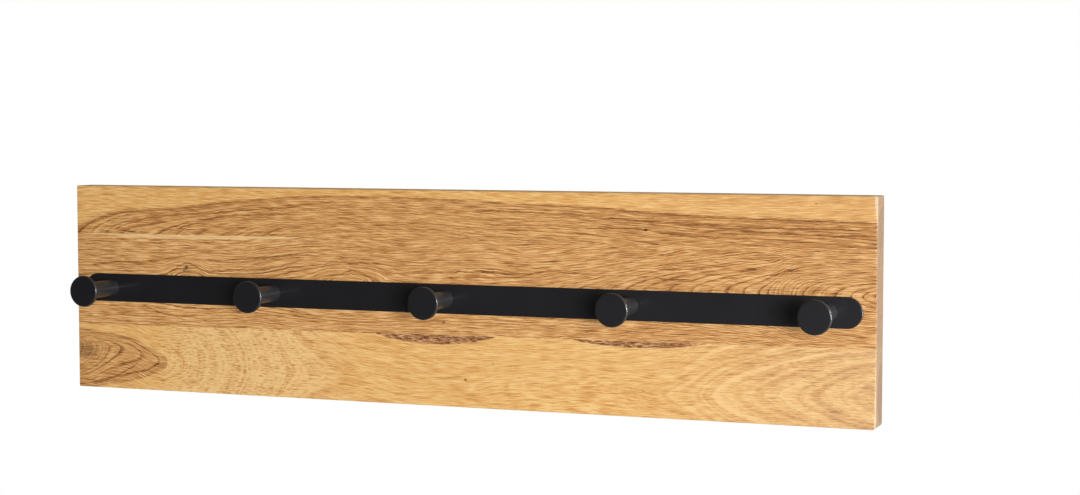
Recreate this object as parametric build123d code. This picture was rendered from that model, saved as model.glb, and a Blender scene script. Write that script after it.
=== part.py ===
from build123d import *
import os

# Wall hook rack: an oak board glued up from three staves, with a flat steel rail that carries
# five flanged pegs. Millimetres. X runs along the rack, Z is up, and the front faces -Y.
# The origin is the centre of the board's back face, which lies against the wall.

# ---- Driving dimensions ----
BOARD_LENGTH = 600.0
BOARD_HEIGHT = 150.0
BOARD_THICKNESS = 20.0
EDGE_ROUND = 1.0

# The board was ripped slightly askew from its glued panel, so the glue lines aren't quite level.
# Each is given by its heights above the bottom edge, at the left end and at the right end.
LOWER_SEAM = (47.2, 52.3)
UPPER_SEAM = (114.8, 116.3)

RAIL_LENGTH = 582.6
RAIL_HEIGHT = 20.6
RAIL_THICKNESS = 2.0
RAIL_EDGE_ROUND = 0.5

PEG_COUNT = 5
PEG_PITCH = 134.4
PROTRUSION = 60.0                 # from the wall to the front of the end discs
STEM_RADIUS = 6.0
STEM_CHAMFER = 0.3
DISC_RADIUS = 11.2
DISC_THICKNESS = 3.0
DISC_ROUND = 1.0
SPIGOT_RADIUS = 3.0               # the stem's turned end, pressed into the disc
SPIGOT_LENGTH = 1.8
SPIGOT_CLEARANCE = 0.05
SPIGOT_END_GAP = 0.2

# M5 x 25 button-head screws clamp board, rail and stem together from behind.
SCREW_RADIUS = 2.5
SCREW_LENGTH = 25.0
SCREW_HEAD_RADIUS = 4.75
SCREW_HEAD_HEIGHT = 2.75
SCREW_HEAD_DOME = 2.2
SCREW_END_CHAMFER = 0.6
HEX_ACROSS_FLATS = 3.0
HEX_DEPTH = 1.6
THREAD_CLEARANCE = 0.03           # plain cylinders stand for the threads
TAPPED_DEPTH = 10.0
WASHER_RADIUS = 5.0
WASHER_HOLE_RADIUS = 2.65
WASHER_THICKNESS = 1.0
COUNTERBORE_RADIUS = 6.0
COUNTERBORE_DEPTH = 6.0
BOARD_HOLE_RADIUS = 2.75
RAIL_HOLE_RADIUS = 2.65

# Steel keyhole plates, let into the back of the upper stave.
PLATE_SPACING = 400.0             # from keyhole to keyhole
PLATE_CENTRE_HEIGHT = 130.0       # above the board's bottom edge
PLATE_WIDTH = 46.0
PLATE_HEIGHT = 24.0
PLATE_THICKNESS = 1.5
PLATE_SETBACK = 0.1               # keeps the plate just below the board's back face
RECESS_CLEARANCE = 0.2
ENTRY_RADIUS = 4.5                # the keyhole's round entry
NECK_RADIUS = 2.3                 # half the width of its narrow slot
ENTRY_DROP = 3.0                  # from the plate's centre down to the entry's centre
NECK_RISE = 5.0                   # from the plate's centre up to the slot's end
POCKET_RADIUS = 5.5               # room behind the plate for the wall screw's head
POCKET_DEPTH = 8.0

# Countersunk wood screws, 3 x 12, hold the plates.
PLATE_SCREW_OFFSET = 17.0
PLATE_SCREW_RADIUS = 1.5
PLATE_SCREW_LENGTH = 12.0
PLATE_SCREW_HEAD_RADIUS = 2.8
PLATE_SCREW_CONE = 1.3
PLATE_SCREW_POINT = 3.0
PLATE_SCREW_TIP_RADIUS = 0.2
PLATE_SCREW_SUNK = 0.05
PLATE_HOLE_RADIUS = 1.6
PILOT_EXTRA_DEPTH = 1.0           # room beyond the wood screw's tip
CROSS_LENGTH = 3.0
CROSS_WIDTH = 0.7
CROSS_DEPTH = 0.8
CROSS_TURNS = (45, 135)           # degrees, the two slots of the cross recess

FLAT_TOLERANCE = 1e-4             # how near a plane an edge has to lie to count as in it

# ---- Places worked out from them ----
FRONT = -BOARD_THICKNESS
RAIL_FRONT = FRONT - RAIL_THICKNESS
DISC_FRONT = -PROTRUSION
DISC_BACK = DISC_FRONT + DISC_THICKNESS
PLATE_BACK = -PLATE_SETBACK
PLATE_FRONT = PLATE_BACK - PLATE_THICKNESS
POCKET_FLOOR = PLATE_FRONT - POCKET_DEPTH
SCREW_SEAT = -COUNTERBORE_DEPTH + WASHER_THICKNESS
BOTTOM = -BOARD_HEIGHT / 2
PLATE_Z = BOTTOM + PLATE_CENTRE_HEIGHT
PEG_X = [PEG_PITCH * (i - (PEG_COUNT - 1) / 2) for i in range(PEG_COUNT)]
PLATE_X = {"left": -PLATE_SPACING / 2, "right": PLATE_SPACING / 2}


def wall_plane(x, y, z):
    """A drawing plane at this point that faces the room: X along the rack, Y up."""
    return Plane(origin=(x, y, z), x_dir=(1, 0, 0), z_dir=(0, -1, 0))


def rod(radius, back, front, x=0.0, z=0.0):
    """A cylinder whose axis runs from the wall towards the room."""
    return extrude(wall_plane(x, back, z) * Circle(radius), amount=back - front)


def obround(length, width, back, front, x=0.0, z=0.0, turn=0.0):
    """A flat piece with semicircular ends, lying along X, or along Z with a turn of 90."""
    return extrude(wall_plane(x, back, z) * SlotOverall(length, width, rotation=turn),
                   amount=back - front)


def cone(back_radius, front_radius, back, front, x=0.0, z=0.0):
    """A cone frustum whose axis runs from the wall towards the room."""
    height = back - front
    body = Cone(back_radius, front_radius, height, align=(Align.CENTER, Align.CENTER, Align.MIN))
    return wall_plane(x, back, z) * body


def edges_at(solid, y):
    """The edges of a solid that lie wholly in the plane at this Y."""
    def lies_there(edge):
        box = edge.bounding_box()
        return max(abs(box.min.Y - y), abs(box.max.Y - y)) < FLAT_TOLERANCE

    return solid.edges().filter_by(lies_there)


# ---- The board ----
def board_blank():
    blank = Pos(0, FRONT / 2, 0) * Box(BOARD_LENGTH, BOARD_THICKNESS, BOARD_HEIGHT)
    return fillet(blank.edges(), EDGE_ROUND)


def stave(blank, lower, upper):
    """The part of the board between two glue lines, or a glue line and an edge."""
    half = BOARD_LENGTH / 2
    corners = [(-half, lower[0]), (half, lower[1]), (half, upper[1]), (-half, upper[0])]
    outline = Polyline([(x, BOTTOM + height) for x, height in corners], close=True)
    band = extrude(wall_plane(0, 0, 0) * make_face(outline), amount=BOARD_THICKNESS)
    return blank & band


def cut_peg_holes(board):
    """Screw clearance holes, counterbored from behind."""
    for x in PEG_X:
        board -= rod(BOARD_HOLE_RADIUS, 0, FRONT, x)
        board -= rod(COUNTERBORE_RADIUS, 0, -COUNTERBORE_DEPTH, x)
    return board


def cut_plate_recess(board, x):
    """The shallow recess for a keyhole plate, the pocket behind it and two pilot holes."""
    length = PLATE_WIDTH + 2 * RECESS_CLEARANCE
    height = PLATE_HEIGHT + 2 * RECESS_CLEARANCE
    board -= obround(length, height, 0, PLATE_FRONT, x, PLATE_Z)
    pocket_height = NECK_RISE + ENTRY_DROP + 2 * POCKET_RADIUS
    pocket_z = PLATE_Z + (NECK_RISE - ENTRY_DROP) / 2
    board -= obround(pocket_height, 2 * POCKET_RADIUS, 0, POCKET_FLOOR, x, pocket_z, turn=90)
    pilot_end = -PLATE_SCREW_LENGTH - PILOT_EXTRA_DEPTH
    for side in (-1, 1):
        pilot_x = x + side * PLATE_SCREW_OFFSET
        board -= rod(PLATE_SCREW_RADIUS + THREAD_CLEARANCE, 0, pilot_end, pilot_x, PLATE_Z)
    return board


# ---- The rail and its pegs ----
def hook_rail():
    rail = obround(RAIL_LENGTH, RAIL_HEIGHT, FRONT, RAIL_FRONT)
    rail = fillet(edges_at(rail, RAIL_FRONT), RAIL_EDGE_ROUND)
    for x in PEG_X:
        rail -= rod(RAIL_HOLE_RADIUS, FRONT, RAIL_FRONT, x)
    return rail


def peg_stem(x):
    stem = rod(STEM_RADIUS, RAIL_FRONT, DISC_BACK, x)
    stem = chamfer(edges_at(stem, RAIL_FRONT), STEM_CHAMFER)
    stem += rod(SPIGOT_RADIUS, DISC_BACK, DISC_BACK - SPIGOT_LENGTH, x)
    return stem - rod(SCREW_RADIUS + THREAD_CLEARANCE, RAIL_FRONT, RAIL_FRONT - TAPPED_DEPTH, x)


def peg_disc(x):
    disc = rod(DISC_RADIUS, DISC_BACK, DISC_FRONT, x)
    disc = fillet(edges_at(disc, DISC_FRONT) + edges_at(disc, DISC_BACK), DISC_ROUND)
    socket_end = DISC_BACK - SPIGOT_LENGTH - SPIGOT_END_GAP
    return disc - rod(SPIGOT_RADIUS + SPIGOT_CLEARANCE, DISC_BACK, socket_end, x)


def peg_screw(x):
    head_top = SCREW_SEAT + SCREW_HEAD_HEIGHT
    head = rod(SCREW_HEAD_RADIUS, head_top, SCREW_SEAT, x)
    head = fillet(edges_at(head, head_top), SCREW_HEAD_DOME)
    shank = rod(SCREW_RADIUS, SCREW_SEAT, SCREW_SEAT - SCREW_LENGTH, x)
    shank = chamfer(edges_at(shank, SCREW_SEAT - SCREW_LENGTH), SCREW_END_CHAMFER)
    socket = RegularPolygon(HEX_ACROSS_FLATS / 2, 6, major_radius=False)
    return head + shank - extrude(wall_plane(x, head_top, 0) * socket, amount=HEX_DEPTH)


def peg_washer(x):
    ring = rod(WASHER_RADIUS, SCREW_SEAT, SCREW_SEAT - WASHER_THICKNESS, x)
    return ring - rod(WASHER_HOLE_RADIUS, SCREW_SEAT, SCREW_SEAT - WASHER_THICKNESS, x)


# ---- The hangers on the back ----
def keyhole_plate(x):
    plate = obround(PLATE_WIDTH, PLATE_HEIGHT, PLATE_BACK, PLATE_FRONT, x, PLATE_Z)
    plate -= rod(ENTRY_RADIUS, PLATE_BACK, PLATE_FRONT, x, PLATE_Z - ENTRY_DROP)
    neck_length = ENTRY_DROP + NECK_RISE + 2 * NECK_RADIUS
    neck_z = PLATE_Z + (NECK_RISE - ENTRY_DROP) / 2
    plate -= obround(neck_length, 2 * NECK_RADIUS, PLATE_BACK, PLATE_FRONT, x, neck_z, turn=90)
    for side in (-1, 1):
        hole_x = x + side * PLATE_SCREW_OFFSET
        plate -= rod(PLATE_HOLE_RADIUS, PLATE_BACK, PLATE_FRONT, hole_x, PLATE_Z)
        sink = PLATE_SCREW_HEAD_RADIUS + THREAD_CLEARANCE + PLATE_SCREW_SUNK
        plate -= cone(sink, PLATE_SCREW_RADIUS + THREAD_CLEARANCE, PLATE_BACK,
                      PLATE_BACK - PLATE_SCREW_SUNK - PLATE_SCREW_CONE, hole_x, PLATE_Z)
    return plate


def plate_screw(x):
    top = PLATE_BACK - PLATE_SCREW_SUNK
    point = top - PLATE_SCREW_LENGTH + PLATE_SCREW_POINT
    screw = cone(PLATE_SCREW_HEAD_RADIUS, PLATE_SCREW_RADIUS, top, top - PLATE_SCREW_CONE, x, PLATE_Z)
    screw += rod(PLATE_SCREW_RADIUS, top - PLATE_SCREW_CONE, point, x, PLATE_Z)
    screw += cone(PLATE_SCREW_RADIUS, PLATE_SCREW_TIP_RADIUS, point, point - PLATE_SCREW_POINT,
                  x, PLATE_Z)
    for turn in CROSS_TURNS:
        slot = Rectangle(CROSS_LENGTH, CROSS_WIDTH, rotation=turn)
        screw -= extrude(wall_plane(x, top, PLATE_Z) * slot, amount=CROSS_DEPTH)
    return screw


def build():
    """Every piece of the rack, by name."""
    blank = board_blank()
    upper = stave(blank, UPPER_SEAM, (BOARD_HEIGHT, BOARD_HEIGHT))
    middle = stave(blank, LOWER_SEAM, UPPER_SEAM)
    lower = stave(blank, (0, 0), LOWER_SEAM)
    for x in PLATE_X.values():
        upper = cut_plate_recess(upper, x)
    parts = {
        "board_stave_upper": upper,
        "board_stave_middle": cut_peg_holes(middle),
        "board_stave_lower": lower,
        "hook_rail": hook_rail(),
    }
    for number, x in enumerate(PEG_X, start=1):
        parts[f"peg_stem_{number}"] = peg_stem(x)
        parts[f"peg_disc_{number}"] = peg_disc(x)
        parts[f"peg_screw_{number}"] = peg_screw(x)
        parts[f"peg_washer_{number}"] = peg_washer(x)
    for side, x in PLATE_X.items():
        outward = PLATE_SCREW_OFFSET if x > 0 else -PLATE_SCREW_OFFSET
        parts[f"keyhole_plate_{side}"] = keyhole_plate(x)
        parts[f"plate_screw_{side}_outer"] = plate_screw(x + outward)
        parts[f"plate_screw_{side}_inner"] = plate_screw(x - outward)
    return parts


os.makedirs("parts", exist_ok=True)
for name, solid in build().items():
    export_step(solid, f"parts/{name}.step")
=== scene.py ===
import math

import bmesh
import bpy
import numpy as np
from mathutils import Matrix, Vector, noise


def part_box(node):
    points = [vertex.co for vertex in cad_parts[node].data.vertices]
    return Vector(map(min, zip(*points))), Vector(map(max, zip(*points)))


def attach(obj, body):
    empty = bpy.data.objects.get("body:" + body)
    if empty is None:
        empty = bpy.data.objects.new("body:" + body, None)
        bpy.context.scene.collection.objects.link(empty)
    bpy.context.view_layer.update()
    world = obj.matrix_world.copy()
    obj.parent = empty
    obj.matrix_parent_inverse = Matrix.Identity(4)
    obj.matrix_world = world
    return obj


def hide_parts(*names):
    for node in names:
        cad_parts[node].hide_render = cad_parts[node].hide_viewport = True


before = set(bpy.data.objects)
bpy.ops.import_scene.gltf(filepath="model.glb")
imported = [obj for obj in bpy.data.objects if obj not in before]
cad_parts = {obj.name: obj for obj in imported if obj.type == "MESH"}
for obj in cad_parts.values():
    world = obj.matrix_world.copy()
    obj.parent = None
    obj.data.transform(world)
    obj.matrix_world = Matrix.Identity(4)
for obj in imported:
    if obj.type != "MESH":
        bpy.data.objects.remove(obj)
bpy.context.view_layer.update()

# The wall hook rack's looks. Shapes are worked out in millimetres, in the CAD frame: X along the
# rack, Z up, the front towards -Y. Heights are counted from the board's bottom edge and depths
# from its front face. Blender's own lengths are metres.
MM = 0.001

# ---- The board, as the CAD frame gives it ----
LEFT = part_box("board_stave_lower")[0].x / MM
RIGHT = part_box("board_stave_lower")[1].x / MM
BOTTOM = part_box("board_stave_lower")[0].z / MM
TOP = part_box("board_stave_upper")[1].z / MM
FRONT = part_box("board_stave_lower")[0].y / MM
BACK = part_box("board_stave_lower")[1].y / MM
HEIGHT = TOP - BOTTOM
THICKNESS = BACK - FRONT

ARRIS = 1.0                        # the rounding of the board's outer edges
WORN_CORNER = 3.0                  # the bottom right corner is rounder than the others
BARK_DEPTH = 0.4                   # how far the bark lies below the board's face
BARK_ROUGH = 0.3                   # how much its floor rises and falls
BARK_REACH = 5.0                   # how far in from the face the wood gives way for it
COUNTERBORE_RADIUS = 6.0           # holes in the back, for the pegs' screws
COUNTERBORE_DEPTH = 6.0
SCREW_HOLE_RADIUS = 2.75
RECESS_CLEARANCE = 0.2             # round a keyhole plate
POCKET_LENGTH = 19.0               # room behind the plate for a wall screw's head
POCKET_WIDTH = 11.0
POCKET_DEPTH = 8.0
POCKET_RISE = 1.0
PILOT_RADIUS = 1.53
PILOT_DEPTH = 13.0
ARC_STEPS = (0, 15, 30, 45)        # degrees, the mesh lines of half an arris
ALONG_STEP = 6.0                   # between mesh lines along the board, away from any detail
ACROSS_STEP = 4.0                  # and across it
SHARP_ANGLE = math.radians(35)     # edges that turn more than this stay crisp
WELD = 0.002                       # points this close after a boolean are one


# ---- Small helpers ----
def srgb(red, green, blue, gain=1.0):
    """A colour given as it shows on screen, 0 to 255, as linear light."""
    shares = [c / 255 for c in (red, green, blue)]
    linear = [((c + 0.055) / 1.055) ** 2.4 if c > 0.04045 else c / 12.92 for c in shares]
    return (*[c * gain for c in linear], 1.0)


def smooth(value, low, high):
    """0 below low, 1 above high, and an S-shaped rise between them, for numpy arrays."""
    t = np.clip((value - low) / (high - low), 0, 1)
    return t * t * (3 - 2 * t)


def seam_ends(node):
    """The heights of a stave's upper face at the board's left and right ends."""
    points = np.array([v.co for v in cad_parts[node].data.vertices]) / MM
    at_left = points[points[:, 0] < LEFT + 2 * ARRIS]
    at_right = points[points[:, 0] > RIGHT - 2 * ARRIS]
    return at_left[:, 2].max() - BOTTOM, at_right[:, 2].max() - BOTTOM


LOWER_SEAM = seam_ends("board_stave_lower")
UPPER_SEAM = seam_ends("board_stave_middle")


def seam_height(ends, x):
    """A glue seam's height at x, which is a number, an array or a material's Num."""
    share = (x - LEFT) / (RIGHT - LEFT)
    return ends[0] + share * (ends[1] - ends[0])


# ---- Materials: a small language for shader nodes ----
class Num:
    """A number that a material works out for each point. Arithmetic on it adds Math nodes."""

    def __init__(self, nodes, socket):
        self.nodes = nodes
        self.socket = socket

    def __add__(self, other):
        return self.nodes.math("ADD", self, other)

    def __radd__(self, other):
        return self.nodes.math("ADD", other, self)

    def __sub__(self, other):
        return self.nodes.math("SUBTRACT", self, other)

    def __rsub__(self, other):
        return self.nodes.math("SUBTRACT", other, self)

    def __mul__(self, other):
        return self.nodes.math("MULTIPLY", self, other)

    def __truediv__(self, other):
        return self.nodes.math("DIVIDE", self, other)

    def sqrt(self):
        return self.nodes.math("SQRT", self)

    def fract(self):
        return self.nodes.math("FRACT", self)

    def floor(self):
        return self.nodes.math("FLOOR", self)

    def abs(self):
        return self.nodes.math("ABSOLUTE", self)

    def clamp(self):
        return self.nodes.make("ShaderNodeClamp", {"Value": self})

    def rise(self, low, high, start=0.0, end=1.0):
        """Goes smoothly from start to end as this number goes from low to high."""
        inputs = {"Value": self, "From Min": low, "From Max": high, "To Min": start, "To Max": end}
        return self.nodes.make("ShaderNodeMapRange", inputs, interpolation_type="SMOOTHSTEP")


class Nodes:
    """Builds one material's node tree."""

    def __init__(self, name):
        self.material = bpy.data.materials.new(name)
        self.material.use_nodes = True
        self.tree = self.material.node_tree
        self.shader = self.tree.nodes["Principled BSDF"]
        place = self.tree.nodes.new("ShaderNodeTexCoord")
        parts = self.tree.nodes.new("ShaderNodeSeparateXYZ")
        self.tree.links.new(place.outputs["Object"], parts.inputs[0])
        self.x, self.y, self.z = [Num(self, socket) * (1 / MM) for socket in parts.outputs]
        normal = self.tree.nodes.new("ShaderNodeSeparateXYZ")
        self.tree.links.new(place.outputs["Normal"], normal.inputs[0])
        self.normal_x = Num(self, normal.outputs[0])

    def feed(self, socket, value):
        """Links a Num to a socket, or sets the socket to a constant."""
        if isinstance(value, Num):
            self.tree.links.new(value.socket, socket)
        else:
            socket.default_value = value

    def make(self, kind, inputs, **settings):
        """Adds a node, and returns its first output."""
        node = self.tree.nodes.new(kind)
        for key, value in settings.items():
            setattr(node, key, value)
        for key, value in inputs.items():
            self.feed(node.inputs[key], value)
        return Num(self, node.outputs[0])

    def math(self, operation, *values):
        return self.make("ShaderNodeMath", dict(enumerate(values)), operation=operation)

    def noise(self, x, y, z, detail, roughness=0.5):
        """Perlin noise from 0 to 1, about 0.5, with features about one unit across."""
        place = self.make("ShaderNodeCombineXYZ", {"X": x, "Y": y, "Z": z})
        inputs = {"Vector": place, "Scale": 1.0, "Detail": detail, "Roughness": roughness}
        return self.make("ShaderNodeTexNoise", inputs)

    def noise_line(self, value, detail):
        """The same noise along a line."""
        inputs = {"W": value, "Scale": 1.0, "Detail": detail}
        return self.make("ShaderNodeTexNoise", inputs, noise_dimensions="1D")

    def random(self, value):
        """A random number from 0 to 1, the same wherever value is the same."""
        return self.make("ShaderNodeTexWhiteNoise", {"W": value}, noise_dimensions="1D")

    def curve(self, value, points):
        """A smooth curve through points, each a pair of this number and the result."""
        first, last = points[0][0], points[-1][0]
        results = [p[1] for p in points]
        margin = 0.1 * (max(results) - min(results)) + 1.0
        low, high = min(results) - margin, max(results) + margin
        node = self.tree.nodes.new("ShaderNodeFloatCurve")
        line = node.mapping.curves[0]
        while len(line.points) < len(points):
            line.points.new(0.5, 0.5)
        for handle, (where, result) in zip(line.points, points):
            handle.location = ((where - first) / (last - first), (result - low) / (high - low))
        node.mapping.update()
        self.feed(node.inputs["Value"], ((value - first) * (1 / (last - first))).clamp())
        return Num(self, node.outputs[0]) * (high - low) + low

    def ramp(self, value, stops):
        """A colour from stops, each a pair of position and colour."""
        node = self.tree.nodes.new("ShaderNodeValToRGB")
        elements = node.color_ramp.elements
        while len(elements) < len(stops):
            elements.new(0.5)
        for element, (position, colour) in zip(elements, stops):
            element.position = position
            element.color = colour
        self.feed(node.inputs["Fac"], value)
        return Num(self, node.outputs["Color"])

    def mix(self, share, first, second):
        """A colour part of the way from first to second."""
        node = self.tree.nodes.new("ShaderNodeMix")
        node.data_type = "RGBA"
        self.feed(node.inputs["Factor"], share)
        self.feed(node.inputs[6], first)
        self.feed(node.inputs[7], second)
        return Num(self, node.outputs[2])

    def bump(self, height, distance):
        """Feeds the shader's normal from a height, where 1 stands for distance in millimetres."""
        node = self.tree.nodes.new("ShaderNodeBump")
        node.inputs["Strength"].default_value = 1.0
        node.inputs["Distance"].default_value = distance * MM
        self.feed(node.inputs["Height"], height)
        self.tree.links.new(node.outputs[0], self.shader.inputs["Normal"])

    def set(self, **values):
        """Sets the shader's own sockets; an underscore in a name stands for a space."""
        for key, value in values.items():
            self.feed(self.shader.inputs[key.replace("_", " ")], value)


# ---- Oak ----
# A figure says what one stave shows. Most of it is curves: points of x and the value there. Lengths
# are millimetres, and heights are counted from the board's bottom edge.
#   ring          how far apart the growth rings are
#   pith_height   where the pith, the middle of the rings, lies along the board
#   pith_behind   whether it lies behind the board's front face or before it
#   pith_reach    how far from the front face it lies
#   heart         the heartwood's radius round the pith; sapwood lies outside it
#   heart_edge    instead of pith_reach: the height at which the heartwood's edge crosses the face
#   above, below  how fast the rings follow each other on either side of the pith; 1 is a circle
#   cone          how pointed the rings are
#   strength      how clearly the rings show
#   cross         how far the rings look like rows of ticks
#   glow          how strong the wide pale bands between them are
#    tone, pale    how light the wood is, and how far its sapwood turns pale; near the right end that pale is painted light
#   rim_shade     how much darker the heartwood is just inside its edge
#   ripple        how wavy the grain is
#   seed          sets this stave's noise apart from the others'
#   swells        what pushes the grain up: x, height, half-width, half-height and rise
#   bold          the darkest year lines, each by points along it
#   flecks        pin knots and dark flecks: x, height, half-length, half-height and how dark
#   bark          bark left in the upper glue edge: middle, half-length and depth below the seam
#   sap_strip     how thick a strip of sapwood is along the upper seam
UPPER_FIGURE = dict(
    ring=1.5, heart=40.0, pith_behind=True, seed=3.0, ripple=1.1,
    pith_height=[(-300, 112), (-150, 110), (0, 106), (150, 102), (300, 105)],
    heart_edge=[(-300, 120.5), (-290, 124.5), (-275, 129), (-255, 132.6), (-230, 134), (-205, 136.5),
                (-185, 138.8), (-150, 141.6), (-110, 144.4), (-60, 145), (-10, 144), (50, 141.3),
                (100, 139.8), (150, 137.2), (200, 135), (250, 134.6), (300, 133.4)],
    strength=[(-300, 1.0), (-200, 1.0), (-150, 0.5), (-100, 0.35), (0, 0.6), (150, 0.9), (300, 1.0)],
    tone=[(-300, 0.04), (-100, 0.0), (0, 0.02), (100, 0.0), (200, -0.07), (300, -0.09)],
    # The pale towards the right end is painted light, standing in for light that falls from the right.
    pale=[(-300, 0.0), (100, 0.0), (200, 0.08), (300, 0.08)],
    rim_shade=0.3,
    swells=[(-225, 124, 40, 9, 1.2)],
    bold=[[(-270, 117), (-250, 124), (-228, 128.5), (-190, 131), (-150, 134.5), (-110, 137)],
          [(-217, 117), (-205, 122), (-180, 128), (-140, 131), (-115, 131.5)],
          [(100, 125), (134, 126.3), (144, 125.6), (158, 123.5), (200, 121)],
          [(150, 131.5), (210, 129), (300, 128)],
          [(190, 127), (240, 125), (300, 124)],
          [(20, 137), (90, 134.5), (160, 130.5), (220, 126)]],
    flecks=[(144.5, 125.5, 1.5, 0.9, 0.95), (134, 126.5, 9, 0.6, 0.35), (-253, 116.3, 5, 0.6, 0.8),
            (-135.5, 131, 2.2, 1.0, 0.35), (260, 144.6, 1.7, 0.5, 0.45)],
)
MIDDLE_FIGURE = dict(
    ring=1.0, pith_behind=False, seed=17.0, ripple=1.6,
    pith_height=[(-300, 75), (50, 76), (100, 79), (150, 83), (200, 85), (300, 85)],
    pith_reach=[(-300, 40), (-240, 40), (-200, 39), (-150, 39), (-70, 37), (0, 38), (60, 37), (100, 35.5),
                (150, 32), (190, 29), (215, 26.5), (228, 25), (240, 21.5), (250, 18.5), (262, 16.5),
                (280, 14), (300, 12)],
    strength=[(-300, 0.8), (-100, 1.0), (0, 0.9), (150, 0.9), (220, 1.2), (300, 1.1)],
    tone=[(-300, -0.02), (-110, 0.0), (-45, -0.05), (10, 0.0), (150, -0.03), (300, -0.02)],
    swells=[(-207, 91, 17, 8, 4.0), (-90, 104, 60, 22, 5.0), (-75, 90, 26, 9, 3.0), (10, 103, 45, 15, 3.0)],
    bold=[[(-290, 91.5), (-262, 94), (-243, 94.5), (-218, 98), (-203, 100.2)],
          [(-190, 97.2), (-173, 97.3), (-160, 98.8), (-130, 101.5), (-105, 105)],
          [(-222, 86), (-216, 90), (-211, 92.8), (-205.5, 94), (-200, 92.8), (-194, 89.8), (-188, 89.2),
           (-164, 90.6), (-135, 92.8), (-125, 95.4), (-109, 99.3)],
          [(-99, 93), (-95, 94.4), (-92, 97.6), (-82, 98.3), (-70, 97.6), (-63, 98.3), (-44, 96.7)],
          [(-84, 88), (-79, 91), (-72, 92.5), (-64, 91.5), (-58, 88.5)],
          [(-247, 64), (-239, 61.2), (-228, 57.2), (-218, 56), (-195, 55.5)],
          [(-210, 63.7), (-203, 62.2), (-181, 61.3), (-150, 60.5)],
          [(17, 94.9), (36, 94.4), (54, 92.5), (67, 94.9), (80, 96.4), (89, 95.4), (106, 98.3)],
          [(42, 98.3), (58, 98.8), (65, 98.3), (84, 99.7)],
          [(150, 95), (161, 92.8), (176, 93), (188, 96.4), (202, 98.3), (225, 102.1)],
          [(223, 86), (226, 94), (234, 98.3), (246, 102.1), (256, 104.5), (270, 105.3)],
          [(150, 99.7), (167, 99.9), (190, 102.1), (204, 104)]],
    flecks=[(-206.8, 91.3, 1.9, 1.7, 0.7), (-208.8, 89.4, 1.2, 1.2, 0.45), (-205.5, 89.6, 4.5, 2.4, 0.2),
            (-2, 58.6, 1.4, 1.1, 0.6)],
    sap_strip=[(-300, -0.4), (-288, 0.5), (-265, 1.6), (-240, 3.0), (-200, 2.8), (-150, 2.1), (-120, 1.2),
               (-105, -1.0), (300, -1.0)],
)
LOWER_FIGURE = dict(
    ring=0.9, heart=14.5, pith_behind=True, seed=31.0, ripple=1.2,
    pith_height=[(-300, 31), (-262, 30), (-223, 21), (-180, 21), (-110, 19), (-50, 14), (0, 11), (80, 11),
                 (150, 15), (200, 18), (300, 21)],
    pith_reach=[(-300, 4.5), (-285, 8), (-270, 10.2), (-260, 10.8), (-250, 11.3), (-240, 12.1),
                (-230, 13.2), (-223, 14.5), (-215, 16.3), (-200, 19.5), (-170, 26), (-140, 32), (-110, 37),
                (-60, 40), (0, 40), (60, 38), (110, 36), (160, 32), (205, 27), (230, 25), (262, 22),
                (300, 18)],
    above=[(-300, 1.0), (-225, 0.9), (-200, 0.5), (-110, 0.45), (-40, 1.0), (150, 1.0), (200, 0.6),
           (300, 0.6)],
    below=[(-300, 0.42), (-285, 0.4), (-260, 0.39), (-250, 0.46), (-240, 0.58), (-232, 0.75), (-220, 0.8),
           (-200, 0.5), (-110, 0.45), (-40, 1.0), (150, 1.0), (200, 0.6), (300, 0.6)],
    cone=[(-300, 0), (-215, 0), (-160, 0.04), (-135, 0.12), (-110, 0.2), (-80, 0.1), (-40, 0), (130, 0),
          (180, 0.08), (300, 0.1)],
    strength=[(-300, 1.0), (-225, 1.0), (-205, 1.0), (-110, 1.0), (-60, 0.7), (100, 0.8), (200, 1.2),
              (300, 1.3)],
    cross=[(-300, 0), (-235, 0.2), (-215, 1), (-120, 1), (-100, 0.4), (-60, 0.1), (150, 0.1), (200, 0.35),
           (260, 0.5), (300, 0.5)],
    glow=[(-300, 0), (-215, 0.6), (-120, 0.9), (-60, 0.3), (100, 0.3), (170, 0.7), (220, 1.5), (300, 1.6)],
    tone=[(-300, 0.05), (-230, 0.06), (-215, 0.12), (-120, 0.12), (-90, 0.07), (100, 0.08), (200, 0.02),
          (300, -0.13)],
    # The pale towards the right end is painted light, standing in for light that falls from the right.
    pale=[(-300, 0.0), (-235, 0.0), (-210, 0.08), (-110, 0.08), (-60, 0.0), (120, 0.0), (200, 0.12),
          (300, 0.28)],
    rim_shade=0.12,
    swells=[(85, 20, 60, 20, 5.0)],
    bold=[[(-300, 7), (-280, 14), (-262, 22), (-254, 29), (-258, 34), (-280, 36)],
          [(-290, 2), (-262, 12), (-243, 20), (-236, 26), (-244, 32)]],
    flecks=[(14, 19.5, 1.2, 0.9, 0.7), (0, 19.8, 12, 0.7, 0.25), (35, 31, 0.8, 2.2, 0.22),
            (-296, 27, 15, 6.0, 0.4)],
    bark=[(-9, 46, 6.5), (140, 47, 4.4)],
)
BARK_TAPER = 0.8                   # the power of a lens's outline; under 1 has blunter ends
# How far in from the right-hand edge it turns pale, by height: wear, with a painted highlight along the
# arris and its chipped corners.
WEAR_AND_HIGHLIGHT = [(0, 1.2), (20, 0.8), (45, 0.1), (105, 0.0), (122, 0.1), (140, 1.5), (150, 2.6)]

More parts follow.
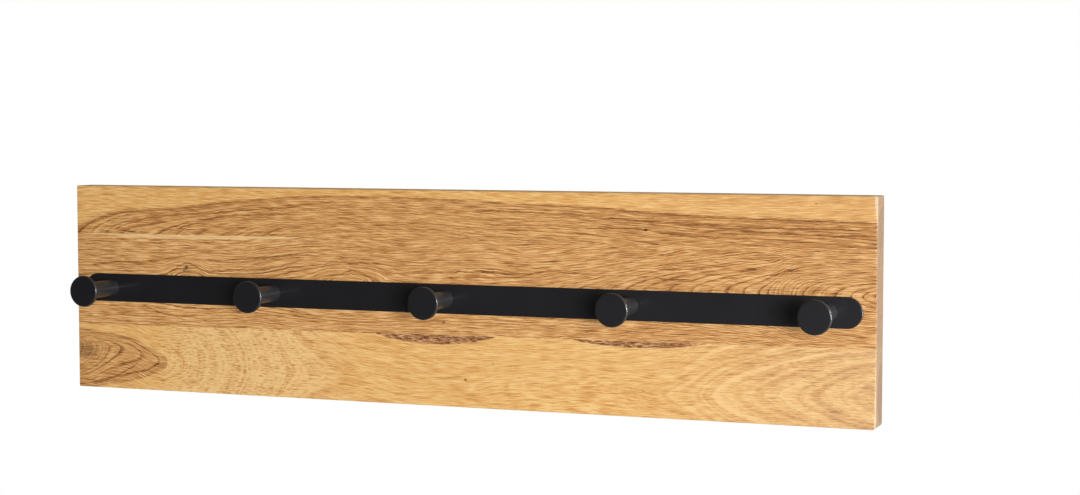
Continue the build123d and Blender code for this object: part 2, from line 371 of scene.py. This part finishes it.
DAYLIGHT = 1.0 / 1.25              # albedo for a colour as it shows in this scene's light
SAP = [(0.0, srgb(150, 92, 42, DAYLIGHT)), (0.35, srgb(206, 146, 78, DAYLIGHT)),
       (0.7, srgb(231, 174, 100, DAYLIGHT)), (1.0, srgb(249, 205, 136, DAYLIGHT))]
HEART = [(0.0, srgb(104, 58, 26, DAYLIGHT)), (0.35, srgb(168, 112, 58, DAYLIGHT)),
         (0.7, srgb(204, 146, 84, DAYLIGHT)), (1.0, srgb(238, 188, 122, DAYLIGHT))]
ORANGE = [(0.0, srgb(112, 64, 28, DAYLIGHT)), (0.35, srgb(178, 120, 64, DAYLIGHT)),
          (0.7, srgb(216, 158, 94, DAYLIGHT)), (1.0, srgb(246, 198, 134, DAYLIGHT))]
BARK = [(0.2, srgb(96, 58, 36, DAYLIGHT)), (0.5, srgb(168, 112, 68, DAYLIGHT)),
        (0.8, srgb(226, 180, 130, DAYLIGHT))]
PALE = srgb(232, 204, 166, DAYLIGHT)
PORE = srgb(118, 70, 34, DAYLIGHT)
KNOT = srgb(66, 34, 18, DAYLIGHT)
END_GRAIN = srgb(218, 190, 162, DAYLIGHT)
# The right-hand edge's pale: worn wood, and a painted highlight along the arris and its chipped corners.
WORN_AND_HIGHLIGHT = srgb(246, 226, 196, DAYLIGHT)

# The grain
WANDER = 5.0                       # how far, in millimetres, the grain wanders up and down
JITTER = 0.9                       # and how far it jitters
RING_UNEVEN = 2.4                  # how many rings' width the spacing may drift by
CROSS_BREAKS = 1.1                 # how many rings a row of ticks breaks by
YEAR_LEAST = 0.35                  # the faintest year line
YEAR_SPREAD = 1.1                  # how much clearer than that a year line may be
DASH_LEAST = 0.35                  # what is left of a line between its dashes
BOLD_SHARE = 0.66                  # how dark a bold line is
PORE_LEVEL = 0.66                  # noise above this is a pore
PORE_EDGE = 8                      # how sharp a pore's edge is
DRAWN_LEVEL = 0.56                 # noise above this is a drawn-out dark fibre
DRAWN_EDGE = 7
STREAK_SHARE = 0.5                 # how much the broad streaks count for
PORE_SHARE = 0.75                  # how far pores darken the face
END_PORE_SHARE = 0.7               # and the sawn ends
END_SHARE = 0.45                   # how far the sawn ends turn pale
WORN_AND_HIGHLIGHT_SHARE = 0.55                  # and the right-hand edge, from wear and a painted highlight
STRIP_PALE = 0.28                  # how far the strip of sapwood is bleached
# How much each feature lightens a kind of wood, in parts of its ramp of colours.
SAP_WEIGHTS = dict(base=0.76, threads=2.2, bands=0.35, line=-0.08, drawn=-0.3)
HEART_WEIGHTS = dict(base=0.77, threads=2.4, bands=0.7, line=-0.6, drawn=-0.3)
ORANGE_WEIGHTS = dict(base=0.75, threads=2.4, bands=0.7, line=-0.6, drawn=-0.3)


def lump(x, height, place):
    """The square of how far a point is from a place, counted in its half-width and half-height."""
    middle, middle_height, half_width, half_height = place
    across = (x - middle) * (1 / half_width)
    up = (height - middle_height) * (1 / half_height)
    return across * across + up * up


def bold_line(n, x, height, points):
    """1 along a dark year line, fading out towards its ends."""
    away = (height - n.curve(x, points)).abs()
    first, last = points[0][0], points[-1][0]
    return away.rise(0.25, 0.85, 1.0, 0.0) * (x - first).rise(0, 6) * (last - x).rise(0, 10)


class Grain:
    """The run of one stave's grain, as Nums: the bends, the growth rings, and what they carry."""

    def __init__(self, n, figure):
        self.n = n
        self.figure = figure
        self.seed = figure["seed"]
        self.x = n.x
        self.height = n.z - BOTTOM
        self.depth = n.y - FRONT
        self.bend()
        self.grow_rings()
        self.draw_year_lines()
        self.draw_fibres()

    def bend(self):
        """The grain wanders slowly, ripples, and swells round knots."""
        n, x, height, depth, seed = self.n, self.x, self.height, self.depth, self.seed
        wander = n.noise(x / 120 + seed, depth / 45, height / 32, detail=1.0) - 0.5
        self.ripple = n.noise(x / 24 + seed, depth / 9, height / 5, detail=2.0) - 0.5
        self.jitter = n.noise(x / 5 + seed, depth / 4, height / 3, detail=1.0) - 0.5
        bent = height + wander * WANDER + self.ripple * self.figure["ripple"] + self.jitter * JITTER
        for *place, lift in self.figure["swells"]:
            bent = bent - lump(x, height, place).rise(0.0, 1.5, lift, 0.0)
        self.from_pith = bent - n.curve(x, self.figure["pith_height"])

    def grow_rings(self):
        """How far each point is from the pith, and how many rings that makes."""
        n, x, figure = self.n, self.x, self.figure
        if "heart_edge" in figure:
            edge = n.curve(x, figure["heart_edge"]) - n.curve(x, figure["pith_height"])
            reach = (figure["heart"] ** 2 - edge * edge).sqrt()
        else:
            reach = n.curve(x, figure["pith_reach"])
        across = self.from_pith
        if "above" in figure:
            upper = across.rise(-0.5, 0.5)
            lower = 1 - upper
            across = across * (n.curve(x, figure["above"]) * upper + n.curve(x, figure["below"]) * lower)
        along = reach - self.depth if figure["pith_behind"] else reach + self.depth
        self.radius = (across * across + along * along).sqrt()
        if "cone" in figure:
            self.radius = self.radius + ((across * across + 1.0).sqrt() - 1.0) * n.curve(x, figure["cone"])
        uneven = n.noise_line(self.radius / 6 + self.seed, detail=1.0) - 0.5
        self.count = self.radius / figure["ring"] + uneven * RING_UNEVEN
        if "cross" in figure:
            self.cross = n.curve(x, figure["cross"])
            broken = n.noise(x / 9, self.depth / 9, self.height / 6, detail=1.0) - 0.5
            self.count = self.count + broken * self.cross * CROSS_BREAKS

    def draw_year_lines(self):
        """Each ring ends in a darker line, clearer in some years than in others."""
        n, x = self.n, self.x
        self.phase = self.count.fract()
        self.early = (1 - self.phase).rise(0.4, 0.97)
        year = n.random(self.count.floor() + self.seed)
        clear = n.curve(x, self.figure["strength"]) * (YEAR_LEAST + year * YEAR_SPREAD)
        dashes = n.noise(x / 12 + self.seed, self.depth / 3, self.height / 1.1, detail=2.0)
        dashed = DASH_LEAST + ((dashes - 0.35) * 4).clamp() * (1 - DASH_LEAST)
        self.line = (1 - self.phase).rise(0.66, 0.95) * clear * dashed
        for points in self.figure["bold"]:
            bold = bold_line(n, x, self.height + self.jitter * 2.0, points) * BOLD_SHARE
            self.line = n.math("MAXIMUM", self.line, bold)
        self.bands = n.noise(x / 30, self.depth / 30 + self.seed, self.count * 2.3, detail=1.0) - 0.5

    def draw_fibres(self):
        """Pores, threads and streaks run along the tree, which the pith follows."""
        n, x, depth, level, seed = self.n, self.x, self.depth, self.from_pith, self.seed
        pores = n.noise(x / 7 + seed, depth / 0.55, level / 0.52, detail=2.0, roughness=0.55)
        self.pore = ((pores - PORE_LEVEL + self.early * 0.07 + self.line * 0.06) * PORE_EDGE).clamp()
        self.threads = n.noise(x / 14 + seed, depth / 0.8, level / 0.55, detail=2.0, roughness=0.6) - 0.5
        drawn = n.noise(x / 22 + seed, depth / 1.6, level / 0.55, detail=1.0)
        self.drawn = ((drawn - DRAWN_LEVEL) * DRAWN_EDGE).clamp()
        streaks = n.noise(x / 90, depth / 14 + seed, level / 4, detail=2.0) - 0.5
        self.tone = n.curve(x, self.figure["tone"]) + streaks * STREAK_SHARE

    def weigh(self, weights):
        """How light the wood is, from all its features."""
        lightness = self.tone + weights["base"]
        for feature in ("threads", "bands", "line", "drawn"):
            lightness = lightness + getattr(self, feature) * weights[feature]
        return lightness


def heart_and_sap(n, grain, figure):
    """Heartwood round the pith, and sapwood with fewer open pores outside it."""
    rim = grain.radius - figure["heart"] + grain.threads * 1.2
    heart = rim.rise(-0.7, 0.5, 1.0, 0.0)
    lightness = grain.weigh(SAP_WEIGHTS)
    if "cross" in figure:
        ticks = n.noise(n.x / 4.5, grain.depth / 0.8 + grain.seed, grain.height / 0.6, detail=2.0) - 0.5
        wave = (grain.phase * 2 - 1).abs().rise(0.0, 1.0) - 0.5
        across = ticks * (2.5 + wave * 0.5) - wave * 0.1 - grain.bands * 0.2
        glow = n.noise(n.x / 80, grain.depth / 30 + grain.seed, grain.count * 0.8, detail=1.0) - 0.5
        lightness = lightness + grain.cross * across + glow * n.curve(n.x, figure["glow"]) * 1.1
    # The sapwood is mixed towards pale cream; towards the right end this is painted light.
    sapwood = n.mix(n.curve(n.x, figure["pale"]), n.ramp(lightness, SAP), PALE)
    shade = rim.rise(-2.4, 0.0) * heart * figure["rim_shade"]
    wood = n.mix(heart, sapwood, n.ramp(grain.weigh(HEART_WEIGHTS) - shade, HEART))
    return wood, grain.pore * (0.35 + heart * 0.65)


def heart_with_sap_strip(n, grain, figure):
    """Orange heartwood, with a strip of sapwood along its upper seam."""
    from_seam = seam_height(UPPER_SEAM, n.x) - grain.height
    strip = (n.curve(n.x, figure["sap_strip"]) - from_seam + grain.threads * 0.8).rise(-0.3, 0.3)
    sapwood = n.mix(STRIP_PALE, n.ramp(0.93 + grain.threads * 3.8, SAP), PALE)
    wood = n.mix(strip, n.ramp(grain.weigh(ORANGE_WEIGHTS), ORANGE), sapwood)
    return wood, grain.pore * (1 - strip)


def lay_bark(n, grain, wood, near_front, lenses):
    """Lenses of bark under the lower seam, crumbled and with ragged edges."""
    x, height, depth = n.x, grain.height, grain.depth
    below = seam_height(LOWER_SEAM, x) - height
    ragged = n.noise(x / 5, depth / 2, height / 1.2, detail=2.0) - 0.5
    crumb = n.noise(x / 4, depth / 0.8, height / 0.7, detail=2.0, roughness=0.6) - 0.5
    colour = n.ramp(0.5 + crumb * 2.0, BARK)
    for middle, half, deep in lenses:
        share = (x - middle) * (1 / half)
        edge = n.math("POWER", (1 - share * share).clamp(), BARK_TAPER) * deep
        bark = (edge - below + ragged * 1.4).rise(-0.2, 0.4) * near_front
        wood = n.mix(bark, wood, colour)
    return wood


def oak(name, figure):
    """Oak, solid all through: growth rings round the pith, with pores and threads along the grain."""
    n = Nodes(name)
    grain = Grain(n, figure)
    kind = heart_and_sap if "heart" in figure else heart_with_sap_strip
    wood, pore = kind(n, grain, figure)
    wood = n.mix(pore * PORE_SHARE, wood, PORE)

    # Knots, flecks and bark lie near the front face only.
    near_front = grain.depth.rise(1.0, 4.0, 1.0, 0.0)
    for *place, dark in figure["flecks"]:
        away = lump(n.x + grain.jitter * 2.4, grain.height - grain.ripple * 1.4, place)
        wood = n.mix(away.rise(0.2, 1.3, dark, 0.0) * near_front, wood, KNOT)
    if "bark" in figure:
        wood = lay_bark(n, grain, wood, near_front, figure["bark"])

    # The right-hand edge turns pale, from wear and a painted highlight, and sawn ends show the rings' rows
    # of pores.
    fray = n.noise(grain.depth / 2 + grain.seed, n.x / 2, grain.height / 2.5, detail=2.0) - 0.5
    worn = (n.x - RIGHT + n.curve(grain.height, WEAR_AND_HIGHLIGHT) + fray * 1.8).rise(-0.3, 0.6) * near_front
    wood = n.mix(worn * WORN_AND_HIGHLIGHT_SHARE, wood, WORN_AND_HIGHLIGHT)
    end = n.normal_x.abs().rise(0.6, 0.95)
    wood = n.mix(end * grain.early * END_PORE_SHARE, wood, PORE)
    wood = n.mix(end * END_SHARE, wood, END_GRAIN)
    n.set(Base_Color=wood, Roughness=0.56 + pore * 0.2, Specular_IOR_Level=0.32)
    n.bump(grain.threads * 0.6 - pore, 0.07)
    return n.material


# ---- Powder-coated steel and zinc ----
COAT_BLACKS = [(0.3, (0.0044, 0.0044, 0.0052, 1)), (0.7, (0.0056, 0.0056, 0.0066, 1))]
ZINC_GREYS = [(0.3, srgb(168, 172, 178)), (0.7, srgb(205, 208, 212))]


def black_coat():
    """Black powder coat, with its fine orange-peel."""
    n = Nodes("black_coat_fine")
    peel = n.noise(n.x / 0.9, n.y / 0.9, n.z / 0.9, detail=2.0)
    cloud = n.noise(n.x / 25, n.y / 25, n.z / 25, detail=2.0)
    n.set(Base_Color=n.ramp(cloud, COAT_BLACKS), Roughness=0.57 + peel * 0.06,
          Specular_IOR_Level=0.14, Coat_Weight=0.35, Coat_Roughness=0.17)
    n.bump(peel, 0.004)
    return n.material


def zinc():
    """Bright zinc plating with fine drawn marks and a few dull clouds."""
    n = Nodes("zinc_plated")
    drawn = n.noise(n.x / 4, n.y / 0.25, n.z / 0.12, detail=2.0)
    cloud = n.noise(n.x / 5, n.y / 5, n.z / 5, detail=3.0)
    n.set(Base_Color=n.ramp(cloud, ZINC_GREYS), Roughness=0.22 + drawn * 0.16 + cloud * 0.12, Metallic=1.0)
    n.bump(drawn, 0.01)
    return n.material


# ---- The staves' meshes ----
def evenly(start, end, length, step):
    """Positions from start to end, about a step apart for a stretch of that length."""
    return set(np.linspace(start, end, int(round(length / step)) + 1).round(4))


def mesh_lines(low, high, step, close, low_round, high_round):
    """Positions of mesh lines from low to high: step apart, closer within each (from, to, step)
    of close, and following the rounding at either end."""
    flat_low, flat_high = low + low_round, high - high_round
    marks = evenly(flat_low, flat_high, high - low, step)
    for start, end, fine in close:
        start, end = max(start, flat_low), min(end, flat_high)
        marks = {m for m in marks if not start - fine / 2 < m < end + fine / 2}
        marks |= evenly(start, end, end - start, fine)
    for turn in ARC_STEPS:
        away = 1 - math.tan(math.radians(turn))
        if low_round:
            marks.add(round(low + low_round * away, 4))
        if high_round:
            marks.add(round(high - high_round * away, 4))
    return sorted(marks)


def grid_box(xs, ys, zs):
    """The skin of a box as quads between mesh lines. Returns its points and faces."""
    lines = (xs, ys, zs)
    index = {}
    points = []
    faces = []

    def point(place):
        if place not in index:
            index[place] = len(points)
            points.append([lines[axis][place[axis]] for axis in range(3)])
        return index[place]

    for axis in range(3):
        a, b = (axis + 1) % 3, (axis + 2) % 3
        for end in (0, len(lines[axis]) - 1):
            for i in range(len(lines[a]) - 1):
                for j in range(len(lines[b]) - 1):
                    corners = []
                    for step_a, step_b in ((0, 0), (1, 0), (1, 1), (0, 1)):
                        place = [0, 0, 0]
                        place[axis], place[a], place[b] = end, i + step_a, j + step_b
                        corners.append(point(tuple(place)))
                    faces.append(corners if end else corners[::-1])
    return np.array(points, float), faces


def round_edges(points, low, high, low_round, high_round):
    """Moves a box's skin onto a rounded box. Each side has its own rounding, 0 for a sharp one."""
    inner = np.clip(points, np.array(low) + low_round, np.array(high) - high_round)
    away = points - inner
    reach = np.abs(away).max(1)
    length = np.linalg.norm(away, axis=1)
    share = np.where(length > 1e-9, reach / np.maximum(length, 1e-9), 1.0)
    return inner + away * share[:, None]


def stave_mesh(name, lower, upper, close_x, close_z, relief):
    """A stave between two glue lines, given as heights at the two ends; None is the board's own edge.
    Its mesh is finer within close_x and close_z, and relief then works its surface."""
    low_z = BOTTOM if lower is None else BOTTOM + sum(lower) / 2
    high_z = TOP if upper is None else BOTTOM + sum(upper) / 2
    low = (LEFT, FRONT, low_z)
    high = (RIGHT, BACK, high_z)
    low_round = np.array([ARRIS, ARRIS, 0.0 if lower else ARRIS])
    high_round = np.array([ARRIS, ARRIS, 0.0 if upper else ARRIS])
    close_z = [(BOTTOM + start, BOTTOM + end, step) for start, end, step in close_z]
    xs = mesh_lines(LEFT, RIGHT, ALONG_STEP, close_x, ARRIS, ARRIS)
    ys = mesh_lines(FRONT, BACK, ACROSS_STEP, (), ARRIS, ARRIS)
    zs = mesh_lines(low_z, high_z, ACROSS_STEP, close_z, low_round[2], high_round[2])
    points, faces = grid_box(xs, ys, zs)
    points = round_edges(points, low, high, low_round, high_round)

    # Lean the glue faces to their real slopes, without touching the rounded edges.
    flat_low, flat_high = low_z + low_round[2], high_z - high_round[2]
    share = np.clip((points[:, 2] - flat_low) / (flat_high - flat_low), 0, 1)
    if lower:
        points[:, 2] += (1 - share) * (BOTTOM + seam_height(lower, points[:, 0]) - low_z)
    if upper:
        points[:, 2] += share * (BOTTOM + seam_height(upper, points[:, 0]) - high_z)
    relief(points)
    mesh = bpy.data.meshes.new(name)
    mesh.from_pydata([tuple(p * MM) for p in points], [], faces)
    mesh.update()
    piece = bpy.data.objects.new(name, mesh)
    bpy.context.scene.collection.objects.link(piece)
    return piece


def bark_relief(points):
    """The lower stave's bark, sunk with a crumbled floor, its worn corner and two nicks at its end."""
    for point in points:
        x, height = point[0], point[2] - BOTTOM
        below = seam_height(LOWER_SEAM, x) - height
        near_face = max(0.0, 1 - (point[1] - FRONT) / BARK_REACH)
        for middle, half, deep in LOWER_FIGURE["bark"]:
            share = (x - middle) / half
            if abs(share) < 1:
                edge = (1 - share * share) ** BARK_TAPER * deep
                crumble = noise.noise(Vector((x / 3.0, height / 0.9, middle)))
                sunk = smooth(edge - below, -0.2, 0.5) * (BARK_DEPTH + crumble * BARK_ROUGH)
                point[1] += sunk * near_face
    wear_corner(points)
    nick(points, (RIGHT, 45.0), 2.5, 0.5)
    nick(points, (RIGHT, 8.5), 3.0, 0.6)


def wear_corner(points):
    """Rounds the board's bottom right corner, seen from the front."""
    centre = (RIGHT - WORN_CORNER, BOTTOM + WORN_CORNER)
    towards = (1, -1)
    away = (points[:, [0, 2]] - centre) * towards
    reach = np.linalg.norm(away, axis=1)
    worn = (away > 0).all(1) & (reach > WORN_CORNER)
    pulled = away[worn] * (WORN_CORNER / reach[worn])[:, None]
    points[worn, 0] = centre[0] + pulled[:, 0]
    points[worn, 2] = centre[1] - pulled[:, 1]


def knot_relief(points):
    """A pit at the middle stave's knot."""
    nick(points, (-207.0, 91.4), 1.6, 0.2)


def edge_relief(points):
    """The upper stave's pin knot, and a bruise on its top arris."""
    nick(points, (144.5, 125.5), 1.5, 0.8)
    nick(points, (201.0, HEIGHT), 4.0, 0.45)


def nick(points, place, reach, depth):
    """Presses the board's front in around a place, given as x and height."""
    away = np.hypot(points[:, 0] - place[0], points[:, 2] - BOTTOM - place[1])
    front = smooth(FRONT + 2 * ARRIS - points[:, 1], 0, ARRIS)
    points[:, 1] += front * depth * smooth(reach - away, 0, reach)


def circle(x, z, radius, steps=48):
    """A circle's outline."""
    turns = [2 * math.pi * i / steps for i in range(steps)]
    return [(x + radius * math.cos(t), z + radius * math.sin(t)) for t in turns]


def obround(x, z, length, width, upright=False):
    """The outline of a slot with round ends, lying along X, or upright."""
    steps = 24
    half = (length - width) / 2
    points = []
    for i in range(2 * steps + 2):
        side = 1 if i <= steps else -1
        turn = math.pi * (i - (0 if side > 0 else 1)) / steps - math.pi / 2
        along = side * half + width / 2 * math.cos(turn)
        across = width / 2 * math.sin(turn)
        points.append((x - across, z + along) if upright else (x + along, z + across))
    return points


def rework(mesh, change):
    """Puts a mesh through a change made on its bmesh."""
    shaped = bmesh.new()
    shaped.from_mesh(mesh)
    change(shaped)
    shaped.to_mesh(mesh)
    shaped.free()


def face_outwards(shaped):
    """Turns every face of a closed mesh outwards."""
    bmesh.ops.recalc_face_normals(shaped, faces=shaped.faces)


def clean_up(shaped):
    """Closes the hairline gaps that a boolean can leave."""
    bmesh.ops.remove_doubles(shaped, verts=shaped.verts, dist=WELD * MM)
    bmesh.ops.dissolve_degenerate(shaped, edges=shaped.edges, dist=WELD / 2 * MM)
    gaps = [edge for edge in shaped.edges if edge.is_boundary]
    if gaps:
        bmesh.ops.holes_fill(shaped, edges=gaps, sides=4)


def cutter_mesh(outlines, depth):
    """Prisms through the board's back face, to a depth, one for each outline."""
    points = []
    faces = []
    for outline in outlines:
        start, count = len(points), len(outline)
        points += [(x * MM, (BACK + 1.0) * MM, z * MM) for x, z in outline]
        points += [(x * MM, (BACK - depth) * MM, z * MM) for x, z in outline]
        faces.append(tuple(range(start, start + count)))
        faces.append(tuple(range(start + 2 * count - 1, start + count - 1, -1)))
        for i in range(count):
            j = (i + 1) % count
            faces.append((start + j, start + i, start + count + i, start + count + j))
    mesh = bpy.data.meshes.new("cutter")
    mesh.from_pydata(points, [], faces)
    rework(mesh, face_outwards)
    return mesh


def cut(piece, outlines, depth):
    """Cuts outlines into the board from behind, to a depth, as one boolean."""
    mesh = cutter_mesh(outlines, depth)
    cutter = bpy.data.objects.new("cutter", mesh)
    bpy.context.scene.collection.objects.link(cutter)
    modifier = piece.modifiers.new("cut", "BOOLEAN")
    modifier.object = cutter
    modifier.operation = "DIFFERENCE"
    modifier.solver = "EXACT"
    evaluated = piece.evaluated_get(bpy.context.evaluated_depsgraph_get())
    result = bpy.data.meshes.new_from_object(evaluated)
    rework(result, clean_up)
    piece.modifiers.clear()
    piece.data = result
    bpy.data.objects.remove(cutter)
    bpy.data.meshes.remove(mesh)


def middle_of(node):
    """The x and z of the middle of a CAD node's box."""
    low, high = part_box(node)
    return (low.x + high.x) / 2 / MM, (low.z + high.z) / 2 / MM


def nodes_named(start):
    """The CAD nodes whose names begin that way."""
    return [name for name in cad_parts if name.startswith(start)]


def cut_back_holes(upper, middle):
    """The holes behind the pegs, and the recesses that hold the keyhole plates."""
    pegs = [middle_of(name) for name in nodes_named("peg_washer")]
    cut(middle, [circle(x, z, COUNTERBORE_RADIUS) for x, z in pegs], COUNTERBORE_DEPTH)
    cut(middle, [circle(x, z, SCREW_HOLE_RADIUS) for x, z in pegs], THICKNESS + 1.0)

    plates = nodes_named("keyhole_plate")
    low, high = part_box(plates[0])
    length = (high.x - low.x) / MM + 2 * RECESS_CLEARANCE
    width = (high.z - low.z) / MM + 2 * RECESS_CLEARANCE
    recess = BACK - low.y / MM
    centres = [middle_of(name) for name in plates]
    cut(upper, [obround(x, z, length, width) for x, z in centres], recess)
    cut(upper, [obround(x, z + POCKET_RISE, POCKET_LENGTH, POCKET_WIDTH, True) for x, z in centres],
        recess + POCKET_DEPTH)
    screws = [middle_of(name) for name in nodes_named("plate_screw")]
    cut(upper, [circle(x, z, PILOT_RADIUS, 24) for x, z in screws], PILOT_DEPTH)


def build_board():
    """The three staves. Where there is detail, their mesh lines are closer: from, to and step."""
    upper = stave_mesh("oak_stave_upper", UPPER_SEAM, None, [(140, 149, 0.75), (195, 207, 1.0)],
                       [(122, 129, 0.6)], edge_relief)
    middle = stave_mesh("oak_stave_middle", LOWER_SEAM, UPPER_SEAM, [(-211, -204, 0.6)],
                        [(88, 95, 0.6)], knot_relief)
    lower = stave_mesh("oak_stave_lower", None, LOWER_SEAM, [(-56, 188, 1.0), (295, 299, 0.5)],
                       [(1, 13, 0.5), (42, 50, 0.45)], bark_relief)
    cut_back_holes(upper, middle)
    place_piece(upper, "board_stave_upper", oak("oak_upper_solid", UPPER_FIGURE))
    place_piece(middle, "board_stave_middle", oak("oak_middle_solid", MIDDLE_FIGURE))
    place_piece(lower, "board_stave_lower", oak("oak_lower_solid", LOWER_FIGURE))


def paint(piece, material):
    """Gives a piece its one material."""
    piece.data.materials.clear()
    piece.data.materials.append(material)


def place_piece(piece, node, material):
    """Finishes a new piece that stands for a CAD node."""
    paint(piece, material)
    piece.data.shade_smooth()
    piece.data.set_sharp_from_angle(angle=SHARP_ANGLE)
    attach(piece, "root")
    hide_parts(node)


def finish_metal():
    """Gives the CAD's metal pieces their materials."""
    black = black_coat()
    bright = zinc()
    for name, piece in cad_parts.items():
        if name.startswith(("hook_rail", "peg_stem", "peg_disc")):
            paint(piece, black)
        elif name.startswith(("peg_screw", "peg_washer", "keyhole_plate", "plate_screw")):
            paint(piece, bright)


def metal_pieces():
    """The pieces that the side light is kept to; the wood needs none of it."""
    metal = bpy.data.collections.new("metal_pieces")
    for name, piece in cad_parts.items():
        if not name.startswith("board_stave"):
            metal.objects.link(piece)
    return metal


# ---- The scene, in metres ----
CAMERA_PLACE = (0.5629, -1.2886, 0.1227)
CAMERA_HEADING = 21.252            # degrees to the left of square on
CAMERA_DIP = 3.596                 # degrees below level
CAMERA_LENS = 67.07

KEY_PLACE = (1.68, -2.48, 0.12)    # the main light, in front and to the right
KEY_SIZE = (0.9, 0.5)
KEY_POWER = 98.0
STRIP_PLACE = (1.6, -0.3, 0.1)     # a narrow upright light at the right, for the metal's bright lines
STRIP_SIZE = (0.12, 1.1)
STRIP_POWER = 100.0

FLOOR_DROP = 0.28                  # below the board
FLOOR_RADIUS = 1.05
FLOOR_STEPS = 96
WORLD_LIGHT = 0.75
DIM_SIDE = (-0.25, -0.95, -0.05)   # where the world is dim, so that the black metal stays black
DIM_LIGHT = 0.01
DIM_SPREAD = (0.05, 0.8)           # cosines of the angle from it: where dimming starts, and is full
TOP_LIGHT = 0.5                    # how much of the world's light comes from straight above
TOP_SPREAD = (0.1, 0.9)            # the heights in the sky between which it falls off


def build_camera():
    """The view from the front, to the right of the rack and a little above it."""
    data = bpy.data.cameras.new("camera")
    data.lens = CAMERA_LENS
    camera = bpy.data.objects.new("camera", data)
    camera.location = CAMERA_PLACE
    camera.rotation_euler = (math.radians(90 - CAMERA_DIP), 0, math.radians(CAMERA_HEADING))
    bpy.context.scene.collection.objects.link(camera)
    bpy.context.scene.camera = camera


def area_light(name, place, size, power):
    """A rectangular light that faces the middle of the rack and that the camera doesn't see."""
    data = bpy.data.lights.new(name, "AREA")
    data.shape = "RECTANGLE"
    data.size, data.size_y = size
    data.energy = power
    light = bpy.data.objects.new(name, data)
    light.location = place
    light.rotation_euler = Vector(place).to_track_quat("Z", "Y").to_euler()
    light.visible_camera = False
    bpy.context.scene.collection.objects.link(light)
    return light


def map_range(tree, value, spread, start, end, kind):
    """A node that goes from start to end as value crosses the spread."""
    node = tree.nodes.new("ShaderNodeMapRange")
    node.interpolation_type = kind
    limits = {"From Min": spread[0], "From Max": spread[1], "To Min": start, "To Max": end}
    for key, limit in limits.items():
        node.inputs[key].default_value = limit
    tree.links.new(value, node.inputs["Value"])
    return node.outputs[0]


def build_world():
    """White all round, but for the dim side that the camera works from. The camera sees white."""
    world = bpy.data.worlds.new("studio")
    world.use_nodes = True
    tree = world.node_tree
    direction = tree.nodes.new("ShaderNodeTexCoord").outputs["Generated"]
    towards = tree.nodes.new("ShaderNodeVectorMath")
    towards.operation = "DOT_PRODUCT"
    towards.inputs[1].default_value = Vector(DIM_SIDE).normalized()
    tree.links.new(direction, towards.inputs[0])
    height = tree.nodes.new("ShaderNodeSeparateXYZ")
    tree.links.new(direction, height.inputs[0])
    both = tree.nodes.new("ShaderNodeMath")
    both.operation = "MULTIPLY"
    dim = map_range(tree, towards.outputs["Value"], DIM_SPREAD, WORLD_LIGHT, DIM_LIGHT, "SMOOTHSTEP")
    overhead = map_range(tree, height.outputs["Z"], TOP_SPREAD, 1.0, TOP_LIGHT, "LINEAR")
    tree.links.new(dim, both.inputs[0])
    tree.links.new(overhead, both.inputs[1])

    path = tree.nodes.new("ShaderNodeLightPath")
    seen = tree.nodes.new("ShaderNodeMix")
    tree.links.new(path.outputs["Is Camera Ray"], seen.inputs["Factor"])
    tree.links.new(both.outputs[0], seen.inputs[2])
    seen.inputs[3].default_value = 1.0
    background = tree.nodes["Background"]
    tree.links.new(seen.outputs[0], background.inputs["Strength"])
    background.inputs["Color"].default_value = (1, 1, 1, 1)
    bpy.context.scene.world = world


def build_floor():
    """A round pale floor, that the camera's view passes over."""
    level = BOTTOM * MM - FLOOR_DROP
    rim = [(x, y, level) for x, y in circle(0, 0, FLOOR_RADIUS, FLOOR_STEPS)]
    mesh = bpy.data.meshes.new("floor")
    mesh.from_pydata(rim, [], [tuple(range(FLOOR_STEPS))])
    floor = bpy.data.objects.new("floor", mesh)
    bpy.context.scene.collection.objects.link(floor)
    n = Nodes("floor_white")
    n.set(Base_Color=(0.96, 0.96, 0.96, 1), Roughness=0.9, Specular_IOR_Level=0.0)
    mesh.materials.append(n.material)


def build_studio():
    """A pale studio. The side light is linked to the metal, and leaves the wood as it is."""
    build_world()
    bpy.context.scene.view_settings.view_transform = "Standard"
    area_light("key", KEY_PLACE, KEY_SIZE, KEY_POWER)
    strip = area_light("side_strip", STRIP_PLACE, STRIP_SIZE, STRIP_POWER)
    strip.light_linking.receiver_collection = metal_pieces()
    build_floor()


build_board()
finish_metal()
build_camera()
build_studio()
